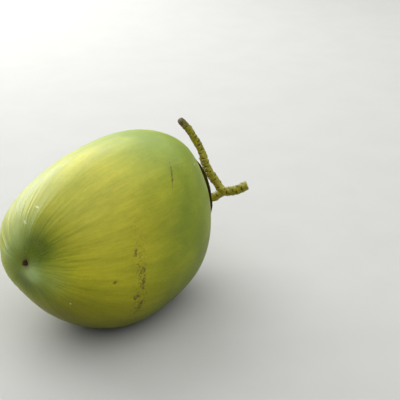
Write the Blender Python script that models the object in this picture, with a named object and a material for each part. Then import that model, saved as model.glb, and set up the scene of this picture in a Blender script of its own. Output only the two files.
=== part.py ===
"""A green coconut as it comes off the bunch, lying on its side.

The fruit's long axis runs along X, with its tip at -X and its stalk at +X. It rests on a small flat
spot on its underside, whose plane is Z = 0, with the origin on that spot. Around its stalk end it
carries its calyx, three outer tepals over three inner ones, and a short piece of the fruiting
branch that it grew on. The dried stigma sits in the dimple at its tip.

An angle around the fruit is measured about X from +Y towards +Z.
"""

import math

import bmesh
import bpy
from mathutils import Vector

# The fruit, in metres. Its axis passes through the middle of its widest section.
WIDEST_RADIUS = 0.080
TIP_LENGTH = 0.1136
STALK_END_LENGTH = 0.104
AXIS_HEIGHT = 0.0810
AXIS_Y = 0.006
TIP_OFFSET_Y = 0.0058
TIP_OFFSET_Z = 0.0126

# How full the fruit is along its length: each end is x^p + r^q = 1.
TIP_FULLNESS = (2.4, 1.9)
STALK_END_FULLNESS = (2.65, 2.25)

# Its cross-section: a little taller than wide, with three soft ridges and a fuller underside.
EXTRA_HEIGHT = 0.038
RIDGE_SHARE = 0.057
RIDGE_ANGLE = math.radians(111.4)
UNDERSIDE_SHARE = 0.050
UNDERSIDE_ANGLE = math.radians(288)
UNDERSIDE_SPREAD = 8.0

# The knobs and hollows round the tip. Each is at a share along the fruit and an angle around it, in
# degrees, and has a spread and a height in metres.
TIP_KNOBS = [
    (0.040, 227, 0.0095, 0.0026),
    (0.110, 205, 0.0160, 0.0009),
    (0.084, 60, 0.0100, 0.0014),
    (0.140, 84, 0.0160, 0.0014),
    (0.082, 12, 0.0090, 0.0016),
    (0.140, 330, 0.0160, 0.0013),
    (0.038, 10, 0.0070, -0.0010),
    (0.058, 122, 0.0105, -0.0024),
    (0.105, 128, 0.0160, -0.0010),
    (0.082, 300, 0.0095, -0.0016),
    (0.100, 262, 0.0130, -0.0010),
]
DIMPLE_DEPTH = 0.0020
DIMPLE_RADIUS = 0.0048

# The calyx: two whorls of three tepals. Each tepal leans over the next one like a roof tile.
TEPAL_INNER_RADIUS = 0.0112
TEPAL_LEAN = 0.0030
TEPAL_EDGE = 0.0010
WHORLS = {
    "inner_tepal": {
        "first_angle": 30, "reach": 0.052, "half_angle": 71, "thickness": 0.0022, "height": 0.0009,
    },
    "outer_tepal": {
        "first_angle": 92, "reach": 0.036, "half_angle": 56, "thickness": 0.0026, "height": 0.0062,
    },
}
REST_GAP = 0.0004

# The piece of fruiting branch: from its cut end past the fork to its dry tip, and from the fork to
# the collar that the fruit grew on. A route's points are joined by a smooth curve.
BRANCH_ROUTE = [
    (0.142, -0.054, 0.084), (0.135, -0.044, 0.079), (0.130, -0.034, 0.078), (0.129, -0.026, 0.086),
    (0.127, -0.016, 0.101), (0.128, -0.008, 0.118), (0.122, 0.001, 0.138), (0.113, 0.007, 0.151),
]
BRANCH_CUT_RADIUS = 0.0049
BRANCH_TIP_RADIUS = 0.0034
SPUR_ROUTE = [(0.130, -0.034, 0.078), (0.125, -0.023, 0.070), (0.121, -0.009, 0.071), (0.118, 0.003, 0.079)]
SPUR_RADII = (0.0040, 0.0052)
COLLAR_RADIUS = 0.0115
COLLAR_HEIGHT = 0.0125

# The dried stigma in the tip's dimple.
STIGMA_RADIUS = 0.0022
STIGMA_HEIGHT = 0.0018
STIGMA_LOBE_ANGLE = math.radians(78)

COLOURS = {
    "husk": ((0.34, 0.39, 0.07), 0.42),
    "inner_tepal": ((0.36, 0.37, 0.12), 0.60),
    "outer_tepal": ((0.30, 0.28, 0.12), 0.70),
    "branch": ((0.42, 0.41, 0.08), 0.60),
    "stigma": ((0.08, 0.05, 0.03), 0.80),
}


def clear_scene():
    """Removes every object, so that the script can run again in an open file."""
    for obj in list(bpy.data.objects):
        bpy.data.objects.remove(obj, do_unlink=True)


def material(name):
    """The plain material of one kind of piece."""
    colour, roughness = COLOURS[name]
    made = bpy.data.materials.get(name) or bpy.data.materials.new(name)
    made.use_nodes = True
    shader = made.node_tree.nodes["Principled BSDF"]
    shader.inputs["Base Color"].default_value = (*colour, 1.0)
    shader.inputs["Roughness"].default_value = roughness
    shader.inputs["Metallic"].default_value = 0.0
    return made


def add_object(name, bm, kind):
    """Turns a bmesh into a smooth-shaded object of one kind, with its faces pointing out."""
    bmesh.ops.recalc_face_normals(bm, faces=bm.faces)
    mesh = bpy.data.meshes.new(name)
    bm.to_mesh(mesh)
    bm.free()
    mesh.shade_smooth()
    mesh.set_sharp_from_angle(angle=math.radians(40))
    mesh.materials.append(material(kind))
    obj = bpy.data.objects.new(name, mesh)
    bpy.context.scene.collection.objects.link(obj)
    return obj


def bump(angle, middle, sharpness):
    """A smooth rise around one angle: 1 at the middle, and near 0 on the far side."""
    return math.exp(sharpness * (math.cos(angle - middle) - 1))


def section_radius(around):
    """The widest section's radius at an angle around the fruit."""
    share = 1 - EXTRA_HEIGHT * math.cos(2 * around)
    share += RIDGE_SHARE * math.cos(3 * (around - RIDGE_ANGLE))
    share += UNDERSIDE_SHARE * bump(around, UNDERSIDE_ANGLE, UNDERSIDE_SPREAD)
    return WIDEST_RADIUS * share


def smooth_point(along, around):
    """A point on the fruit without its tip's knobs. along runs from 0 at the tip to 1 at the stalk."""
    position = -math.cos(math.pi * along)
    at_tip = position < 0
    power, root = TIP_FULLNESS if at_tip else STALK_END_FULLNESS
    reach = abs(position)
    radius = section_radius(around) * max(0.0, 1 - reach**power) ** (1 / root)
    bend = reach**2 if at_tip else 0.0
    return Vector((
        position * (TIP_LENGTH if at_tip else STALK_END_LENGTH),
        AXIS_Y + radius * math.cos(around) + TIP_OFFSET_Y * bend,
        AXIS_HEIGHT + radius * math.sin(around) + TIP_OFFSET_Z * bend,
    ))


def outward(along, around):
    """The fruit's outward normal, from the slopes along it and around it."""
    step = 0.004
    along = min(max(along, 2 * step), 1 - 2 * step)
    lengthways = smooth_point(along + step, around) - smooth_point(along - step, around)
    sideways = smooth_point(along, around + step) - smooth_point(along, around - step)
    return sideways.cross(lengthways).normalized()


def tip_relief(along, around):
    """How far the skin stands out near the tip: knobs up, hollows and the dimple down."""
    place = smooth_point(along, around)
    relief = -DIMPLE_DEPTH * math.exp(-(((place - smooth_point(0, 0)).length / DIMPLE_RADIUS) ** 2))
    for knob_along, knob_around, spread, height in TIP_KNOBS:
        distance = (place - smooth_point(knob_along, math.radians(knob_around))).length
        relief += height * math.exp(-((distance / spread) ** 2))
    return relief


def skin_point(along, around):
    """A point on the fruit's skin, with the knobs and the dimple of its tip."""
    if along <= 0.0:
        return smooth_point(0, 0) - Vector((tip_relief(0, 0), 0, 0))
    return smooth_point(along, around) + outward(along, around) * tip_relief(along, around)


def add_rings(bm, rings):
    """Skins a list of rings of points into quads, and closes both ends with a flat or pointed cap."""
    loops = [[bm.verts.new(point) for point in ring] for ring in rings]
    for first, second in zip(loops, loops[1:]):
        count = len(first)
        for j in range(count):
            bm.faces.new((first[j], first[(j + 1) % count], second[(j + 1) % count], second[j]))
    for loop in (loops[0], loops[-1]):
        middle = sum((v.co for v in loop), Vector()) / len(loop)
        centre = bm.verts.new(middle)
        for j in range(len(loop)):
            bm.faces.new((loop[j], loop[(j + 1) % len(loop)], centre))


def make_husk(rings_along=34, points_around=56):
    """The fruit itself, cut flat where it rests on its underside."""
    bm = bmesh.new()
    shares = [(i + 1) / (rings_along + 1) for i in range(rings_along)]
    angles = [math.tau * j / points_around for j in range(points_around)]
    add_rings(bm, [[skin_point(along, around) for around in angles] for along in shares])
    for vert in bm.verts:
        if len(vert.link_edges) == points_around:
            vert.co = skin_point(0, 0) if vert.co.x < 0 else smooth_point(1, 0)
    everything = bm.verts[:] + bm.edges[:] + bm.faces[:]
    bmesh.ops.bisect_plane(
        bm, geom=everything, dist=1e-5, plane_co=(0, 0, 0), plane_no=(0, 0, -1), clear_outer=True
    )
    bmesh.ops.edgeloop_fill(bm, edges=[e for e in bm.edges if e.is_boundary])
    return add_object("husk", bm, "husk")


def stalk_end_point(distance, around, height):
    """A point a height above the skin at the stalk end, at a distance from the fruit's axis."""
    power, root = STALK_END_FULLNESS

    def on_skin(from_axis, angle):
        share = min(1.0, from_axis / section_radius(angle))
        return Vector((
            STALK_END_LENGTH * (1 - share**root) ** (1 / power),
            AXIS_Y + from_axis * math.cos(angle),
            AXIS_HEIGHT + from_axis * math.sin(angle),
        ))

    step = 0.0005
    outwards = on_skin(distance + step, around) - on_skin(distance - step, around)
    sideways = on_skin(distance, around + 0.01) - on_skin(distance, around - 0.01)
    return on_skin(distance, around) + outwards.cross(sideways).normalized() * height


def make_tepal(name, kind, middle, reach, half_angle, thickness, height, across=14, lengthways=8):
    """One tepal: a leathery scale that hugs the fruit, thick at its base and thin at its rim."""
    bm = bmesh.new()
    lower, upper = [], []
    for i in range(across + 1):
        side = 2 * i / across - 1
        around = middle + side * half_angle
        outline = TEPAL_INNER_RADIUS + 0.006
        outline += (reach - outline) * (1 - abs(side) ** 2.6) ** (1 / 1.8)
        lean = height + TEPAL_LEAN * (side + 1) / 2
        lower_row, upper_row = [], []
        for j in range(lengthways + 1):
            share = j / lengthways
            distance = TEPAL_INNER_RADIUS + (outline - TEPAL_INNER_RADIUS) * share
            thin = max(abs(side), share) ** 2
            thick = thickness + (TEPAL_EDGE - thickness) * thin
            lower_row.append(bm.verts.new(stalk_end_point(distance, around, lean)))
            upper_row.append(bm.verts.new(stalk_end_point(distance, around, lean + thick)))
        lower.append(lower_row)
        upper.append(upper_row)
    for sheet in (lower, upper):
        for first, second in zip(sheet, sheet[1:]):
            for j in range(lengthways):
                bm.faces.new((first[j], first[j + 1], second[j + 1], second[j]))
    for i in range(across):
        for j in (0, lengthways):
            bm.faces.new((lower[i][j], lower[i + 1][j], upper[i + 1][j], upper[i][j]))
    for j in range(lengthways):
        for i in (0, across):
            bm.faces.new((lower[i][j], lower[i][j + 1], upper[i][j + 1], upper[i][j]))
    return add_object(name, bm, kind)


def make_calyx():
    """Both whorls of tepals, three to a whorl."""
    for kind, whorl in WHORLS.items():
        for k in range(3):
            middle = math.radians(whorl["first_angle"] + 120 * k)
            make_tepal(
                f"{kind}_{k + 1}", kind, middle, whorl["reach"], math.radians(whorl["half_angle"]),
                whorl["thickness"], whorl["height"],
            )


def catmull_rom(points, steps):
    """A smooth curve through the points, with this many steps between each two."""
    ends = [points[0] * 2 - points[1]] + points + [points[-1] * 2 - points[-2]]
    curve = []
    for a, b, c, d in zip(ends, ends[1:], ends[2:], ends[3:]):
        for k in range(steps):
            t = k / steps
            curve.append(
                0.5 * (2 * b + (c - a) * t + (2 * a - 5 * b + 4 * c - d) * t**2
                       + (3 * b - a - 3 * c + d) * t**3)
            )
    return curve + [points[-1]]


def tube_rings(path, radii, sides):
    """Rings square to a path, carried along it without twisting."""
    rings = []
    side = Vector((0, 0, 1))
    for i, (point, radius) in enumerate(zip(path, radii)):
        ahead = (path[min(i + 1, len(path) - 1)] - path[max(i - 1, 0)]).normalized()
        side = (side - ahead * side.dot(ahead)).normalized()
        other = ahead.cross(side)
        rings.append([
            point + radius * (math.cos(a) * side + math.sin(a) * other)
            for a in (math.tau * k / sides for k in range(sides))
        ])
    return rings


def make_tube(name, route, first_radius, last_radius, sides=12):
    """A round stem along a route, thinner towards its end."""
    bm = bmesh.new()
    path = catmull_rom([Vector(point) for point in route], 3)
    last = len(path) - 1
    radii = [first_radius + (last_radius - first_radius) * (i / last) ** 1.2 for i in range(last + 1)]
    add_rings(bm, tube_rings(path, radii, sides))
    return add_object(name, bm, "branch")


def make_collar(sides=16):
    """The collar on the fruit's stalk end: a low drum that narrows to the spur."""
    bm = bmesh.new()
    start = STALK_END_LENGTH + REST_GAP
    profile = [(0.0, 0.92), (0.25, 0.86), (0.62, 0.80), (0.80, 0.82), (0.95, 0.66), (1.15, 0.40)]
    path = [Vector((start + COLLAR_HEIGHT * h, AXIS_Y, AXIS_HEIGHT)) for h, _ in profile]
    add_rings(bm, tube_rings(path, [COLLAR_RADIUS * r for _, r in profile], sides))
    return add_object("collar_join", bm, "branch")


def make_branch():
    """The fruiting branch, joined to its spur and to the collar that the fruit grew on."""
    branch = make_tube("branch", BRANCH_ROUTE, BRANCH_CUT_RADIUS, BRANCH_TIP_RADIUS)
    spur = make_tube("spur_join", SPUR_ROUTE, *SPUR_RADII)
    for piece in (spur, make_collar()):
        piece.hide_render = True
        piece.display_type = "WIRE"
        join = branch.modifiers.new(piece.name, "BOOLEAN")
        join.operation = "UNION"
        join.object = piece
    return branch


def make_stigma(sides=12):
    """The dried stigma: a small three-cornered button in the tip's dimple."""
    bm = bmesh.new()
    seat = skin_point(0, 0).x - REST_GAP - 0.0012
    profile = [(0.0, 0.75), (0.25, 1.0), (0.70, 0.85), (1.0, 0.40)]
    axis = smooth_point(0, 0)
    rings = []
    for height, width in profile:
        ring = []
        for k in range(sides):
            around = math.tau * k / sides
            radius = STIGMA_RADIUS * width * (1 + 0.12 * math.cos(3 * (around - STIGMA_LOBE_ANGLE)))
            ring.append(Vector((
                seat - STIGMA_HEIGHT * height,
                axis.y + radius * math.cos(around),
                axis.z + radius * math.sin(around),
            )))
        rings.append(ring)
    add_rings(bm, rings)
    return add_object("stigma", bm, "stigma")


clear_scene()
make_husk()
make_calyx()
make_branch()
make_stigma()
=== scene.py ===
"""The looks of a green coconut that lies on its side, with its calyx and a piece of fruiting branch.

Lengths are in metres. The fruit's long axis runs along X, with its tip at -X and its stalk at +X.
Two coordinates say where something is on the fruit: along runs from 0 at the tip to 1 at the stalk,
and around is an angle about X, in degrees from +Y towards +Z, so that 90 is the top.
"""

import logging
import math
from dataclasses import dataclass
from enum import Enum

import bpy
import numpy as np
from mathutils import Euler, Matrix, Quaternion, Vector


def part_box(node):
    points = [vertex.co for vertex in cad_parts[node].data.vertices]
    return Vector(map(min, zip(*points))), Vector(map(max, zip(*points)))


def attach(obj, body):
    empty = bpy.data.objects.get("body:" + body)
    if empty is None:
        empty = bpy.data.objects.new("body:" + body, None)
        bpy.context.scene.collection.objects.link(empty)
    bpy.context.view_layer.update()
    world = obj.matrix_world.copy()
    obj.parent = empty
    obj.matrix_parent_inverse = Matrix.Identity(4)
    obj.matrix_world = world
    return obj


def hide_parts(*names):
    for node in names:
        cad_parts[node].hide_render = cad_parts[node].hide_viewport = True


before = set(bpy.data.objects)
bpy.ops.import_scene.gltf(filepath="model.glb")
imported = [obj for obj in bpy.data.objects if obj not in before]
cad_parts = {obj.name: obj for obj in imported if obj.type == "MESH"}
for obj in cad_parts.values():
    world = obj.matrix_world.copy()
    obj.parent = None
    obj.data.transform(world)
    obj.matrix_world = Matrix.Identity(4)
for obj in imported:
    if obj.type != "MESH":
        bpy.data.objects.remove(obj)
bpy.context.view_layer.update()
BODY = "root"
MM = 0.001

log = logging.getLogger("green_coconut")
Array = np.ndarray
Socket = bpy.types.NodeSocket


# ---------------------------------------------------------------------------------------- numbers


def unit(vectors: Array) -> Array:
    """Vectors scaled to length 1 along their last axis."""
    return vectors / np.maximum(np.linalg.norm(vectors, axis=-1, keepdims=True), 1e-12)


def bump(angle: Array, middle: float, sharpness: float) -> Array:
    """A smooth rise round one angle in radians: exp(sharpness * (cos(angle - middle) - 1))."""
    return np.exp(sharpness * (np.cos(angle - middle) - 1.0))


def step_between(value: Array, low: float, high: float) -> Array:
    """A smooth step from 0 at low to 1 at high: 3t^2 - 2t^3 of the clamped share t."""
    share = np.clip((value - low) / (high - low), 0.0, 1.0)
    return share * share * (3.0 - 2.0 * share)


def hill(value: Array, middle: float, width: float) -> Array:
    """A Gaussian hill of height 1: exp(-((value - middle) / width)^2)."""
    return np.exp(-(((value - middle) / width) ** 2))


@dataclass(frozen=True)
class Ripple:
    """Random smooth waves over a surface that closes on itself in one direction.

    The height is a sum of cosines cos(n * angle + m * pi * along + phase), each with a whole number n
    of waves round the surface, so that it meets itself, and a gentle number m of half waves along it.
    Its spread is 1, so that a height in metres is its value times a depth in metres.
    """

    seed: int
    waves: tuple[int, int]
    drift: float
    count: int = 40

    def height(self, along: Array, angle: Array) -> Array:
        """The waves' height at each point.

        Args:
            along: share of the surface's length, 0 to 1.
            angle: angle round the surface, in radians.

        Returns:
            The height at each point, with a spread of about 1.
        """
        rng = np.random.default_rng(self.seed)
        total = np.zeros(np.broadcast(along, angle).shape)
        for _ in range(self.count):
            n = rng.integers(self.waves[0], self.waves[1] + 1)
            m = rng.uniform(-self.drift, self.drift)
            total += np.cos(n * angle + m * math.pi * along + rng.uniform(0.0, math.tau))
        return total * math.sqrt(2.0 / self.count)


# ----------------------------------------------------------------------------------------- meshes


@dataclass
class Surface:
    """A surface on a grid of points, and the values that its material reads.

    points has the shape (rows, columns, 3), and each value (rows, columns) or (rows, columns, 3).
    """

    points: Array
    values: dict[str, Array]

    def faces(self) -> Array:
        """The grid's four-sided faces, where its last column meets its first.

        Returns:
            Point numbers with the shape (faces, 4), anticlockwise from outside.
        """
        rows, columns = self.points.shape[:2]
        number = np.arange(rows * columns).reshape(rows, columns)
        number = np.concatenate([number, number[:, :1]], axis=1)
        quads = np.stack([number[:-1, :-1], number[:-1, 1:], number[1:, 1:], number[1:, :-1]], axis=-1)
        return quads.reshape(-1, 4)

    def cap(self, row: int, place: Array | None = None) -> dict[str, Array]:
        """The point that closes a row, with the row's mean values: at a place, or in the row's middle."""
        place = self.points[row].mean(axis=0) if place is None else place
        return {"place": place, **{label: value[row].mean(axis=0) for label, value in self.values.items()}}


def make_mesh(
    name: str, points: Array, quads: Array, tris: Array, values: dict[str, Array]
) -> bpy.types.Mesh:
    """Puts whole arrays into a new smooth-shaded mesh.

    Args:
        name: the mesh's name.
        points: (points, 3) places.
        quads: (faces, 4) point numbers, anticlockwise from outside.
        tris: (faces, 3) point numbers, anticlockwise from outside.
        values: for each attribute, (points,) numbers or (points, 3) vectors.

    Returns:
        The mesh.
    """
    mesh = bpy.data.meshes.new(name)
    corners = np.concatenate([quads.ravel(), tris.ravel()]).astype(np.int32)
    sides = np.concatenate([np.full(len(quads), 4), np.full(len(tris), 3)])
    starts = np.concatenate([[0], np.cumsum(sides)[:-1]]).astype(np.int32)
    mesh.vertices.add(len(points))
    mesh.vertices.foreach_set("co", points.astype(np.float32).ravel())
    mesh.loops.add(len(corners))
    mesh.loops.foreach_set("vertex_index", corners)
    mesh.polygons.add(len(starts))
    mesh.polygons.foreach_set("loop_start", starts)
    for label, value in values.items():
        kind, slot = ("FLOAT_VECTOR", "vector") if value.ndim == 2 else ("FLOAT", "value")
        layer = mesh.attributes.new(label, kind, "POINT")
        layer.data.foreach_set(slot, value.astype(np.float32).ravel())
    mesh.update(calc_edges=True)
    mesh.validate()
    mesh.shade_smooth()
    return mesh


def tube_mesh(
    name: str, surface: Surface, first: dict[str, Array], last: dict[str, Array]
) -> bpy.types.Mesh:
    """Closes a grid of rings with one point at each end.

    Args:
        name: the mesh's name.
        surface: rings of points, in order, each ring anticlockwise seen from the last one's side.
        first: the point that closes the first ring, as Surface.cap gives it.
        last: the same for the last ring.

    Returns:
        A closed mesh with its faces pointing out.
    """
    rows, columns = surface.points.shape[:2]
    body = surface.points.reshape(-1, 3)
    points = np.concatenate([body, first["place"][None], last["place"][None]])
    values = {}
    for label, value in surface.values.items():
        flat = value.reshape(len(body), *value.shape[2:])
        ends = np.stack([np.asarray(first[label]), np.asarray(last[label])])
        values[label] = np.concatenate([flat, ends])
    ring = np.arange(columns)
    following = (ring + 1) % columns
    base = (rows - 1) * columns
    front = np.stack([following, ring, np.full(columns, len(body))], axis=-1)
    back = np.stack([base + ring, base + following, np.full(columns, len(body) + 1)], axis=-1)
    return make_mesh(name, points, surface.faces(), np.concatenate([front, back]), values)


def show(
    name: str, mesh: bpy.types.Mesh, material: bpy.types.Material, node: str
) -> bpy.types.Object:
    """Makes a mesh a piece of the object that stands for one of the frame's nodes.

    Args:
        name: the piece's name.
        mesh: its mesh, already in place.
        material: its finish.
        node: the node that it stands for.

    Returns:
        The new object.
    """
    mesh.materials.append(material)
    piece = bpy.data.objects.new(name, mesh)
    bpy.context.scene.collection.objects.link(piece)
    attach(piece, BODY)
    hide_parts(node)
    log.info("%s: %d faces, stands for %s", name, len(mesh.polygons), node)
    return piece


# -------------------------------------------------------------------------------------- materials


def linear(colour: str) -> tuple[float, float, float, float]:
    """Turns a colour from sRGB to linear.

    Args:
        colour: six hex digits, such as "7f9a34".

    Returns:
        Its linear red, green, blue and alpha, from 0 to 1.
    """
    parts = [int(colour[i:i + 2], 16) / 255 for i in (0, 2, 4)]
    red, green, blue = (c / 12.92 if c <= 0.04045 else ((c + 0.055) / 1.055) ** 2.4 for c in parts)
    return red, green, blue, 1.0


@dataclass(frozen=True)
class Grain:
    """Smooth noise whose blotches are about size metres across.

    detail is its number of finer layers, rough their strength, and warp how far it's bent. stretch
    scales the place on each axis, so that a share below 1 draws the blotches out along that axis.
    """

    size: float
    detail: float = 3.0
    rough: float = 0.5
    stretch: tuple[float, float, float] | None = None
    warp: float = 0.0


class Paint:
    """The node tree of one material, and the layers that the finishes here are built from."""

    SMOOTH = {"interpolation_type": "SMOOTHSTEP"}

    def __init__(self, name: str, constants: dict[str, float]) -> None:
        """Starts a material.

        Args:
            name: the material's name.
            constants: the values that are the same all over, by their sockets on the shader.
        """
        self.material = bpy.data.materials.new(name)
        self.material.use_nodes = True
        self.tree = self.material.node_tree
        self.shader = self.tree.nodes["Principled BSDF"]
        for socket, value in constants.items():
            self.shader.inputs[socket].default_value = value
        self.place = self.add("TexCoord", (), "Object")

    def add(self, kind: str, inputs: dict | tuple, output: str | int = 0, **settings: object) -> Socket:
        """Adds a shader node, sets what it needs and links its inputs.

        Args:
            kind: the node's type, without its ShaderNode prefix.
            inputs: what goes into each input, by its name or number, or in order: another node's
                output, a plain value, or a colour in hex.
            output: the name or number of the output that is wanted.
            settings: the node's own properties.

        Returns:
            The new node's output.
        """
        node = self.tree.nodes.new("ShaderNode" + kind)
        for key, value in settings.items():
            setattr(node, key, value)
        for key, value in inputs.items() if isinstance(inputs, dict) else enumerate(inputs):
            if isinstance(value, Socket):
                self.tree.links.new(value, node.inputs[key])
            else:
                node.inputs[key].default_value = linear(value) if isinstance(value, str) else value
        return node.outputs[output]

    def grow(self, grain: Grain, place: Socket) -> Socket:
        """Lays a grain out over the surface.

        Args:
            grain: its sizes.
            place: the vector that it follows.

        Returns:
            The grain's height at each place, from 0 to 1.
        """
        if grain.stretch:
            place = self.add("Mapping", {"Vector": place, "Scale": grain.stretch})
        inputs = {"Vector": place, "Scale": 1.0 / grain.size, "Detail": grain.detail}
        inputs |= {"Roughness": grain.rough, "Distortion": grain.warp}
        return self.add("TexNoise", inputs)

    def coat(
        self, under: Socket | str, over: Socket | str, mask: Socket,
        low: float, high: float, start: float = 0.0, end: float = 1.0,
    ) -> Socket:
        """Lays a colour over another by a smooth step of a mask, from start at low to end at high."""
        share = self.add("MapRange", (mask, low, high, start, end), **self.SMOOTH)
        return self.add("Mix", {0: share, 6: under, 7: over}, 2, data_type="RGBA")

    def shade(self, under: Socket | str, over: Socket | str, mask: Socket, strength: float) -> Socket:
        """Lays a colour over another by a mask from 0 to 1, times a strength."""
        share = self.add("Math", (mask, strength), operation="MULTIPLY")
        return self.add("Mix", {0: share, 6: under, 7: over}, 2, data_type="RGBA")

    def spots(self, marks: tuple["Mark", ...], fruit: "Fruit") -> Socket:
        """A mask of the skin's marks: 1 in their middles and 0 past their edges, which noise makes waver.

        The distance from a mark's middle is measured in its own half sizes, so its edge is at 1.

        Args:
            marks: the marks.
            fruit: the fruit that they are on.

        Returns:
            The mask.
        """
        total = None
        for mark in marks:
            place, turn, size = fruit.mark_frame(mark)
            inputs = {"Vector": self.place, "Location": place, "Rotation": turn, "Scale": size}
            local = self.add("Mapping", inputs, vector_type="TEXTURE")
            reach = self.add("VectorMath", (local,), "Value", operation="LENGTH")
            rough = self.grow(Grain(0.5 * mark.half_width + 1.0 * MM, 3.0, 0.6), self.place)
            waver = self.add("MapRange", (rough, 0.2, 0.8, -0.5, 0.5), **self.SMOOTH)
            reach = self.add("Math", (reach, waver), operation="ADD")
            edge = (reach, 1.0 - mark.soft, 1.0 + 0.2 * mark.soft, 1.0, 0.0)
            spot = self.add("MapRange", edge, **self.SMOOTH)
            total = spot if total is None else self.add("Math", (total, spot), operation="MAXIMUM")
        return total

    def relief(self, layers: tuple[tuple[Socket, float], ...]) -> Socket:
        """The normal of a surface with fine layers of relief.

        Args:
            layers: each layer's height from 0 to 1, and the metres that 1 stands for, lowest first.

        Returns:
            The bumped normal.
        """
        below = {}
        for height, depth in layers:
            inputs = {"Height": height, "Distance": depth, "Strength": 1.0, **below}
            below = {"Normal": self.add("Bump", inputs)}
        return below["Normal"]

    def finish(self, varying: dict[str, Socket]) -> bpy.types.Material:
        """Links what varies over the surface to the shader.

        Args:
            varying: for each of the shader's sockets, the output that it takes.

        Returns:
            The finished material.
        """
        for socket, source in varying.items():
            self.tree.links.new(source, self.shader.inputs[socket])
        return self.material


# -------------------------------------------------------------------------------------- the fruit


@dataclass(frozen=True)
class Knob:
    """A soft knob near the tip, or a hollow if its height is below 0, with its spread in metres."""

    along: float
    around: float
    spread: float
    height: float


@dataclass(frozen=True)
class Mark:
    """A small mark on the skin: where it is, half its size in metres, and how far it turns, in degrees.

    An unturned mark lies lengthways. soft is the share of it over which its edge fades.
    """

    along: float
    around: float
    half_length: float
    half_width: float
    turn: float = 0.0
    soft: float = 0.5


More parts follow.
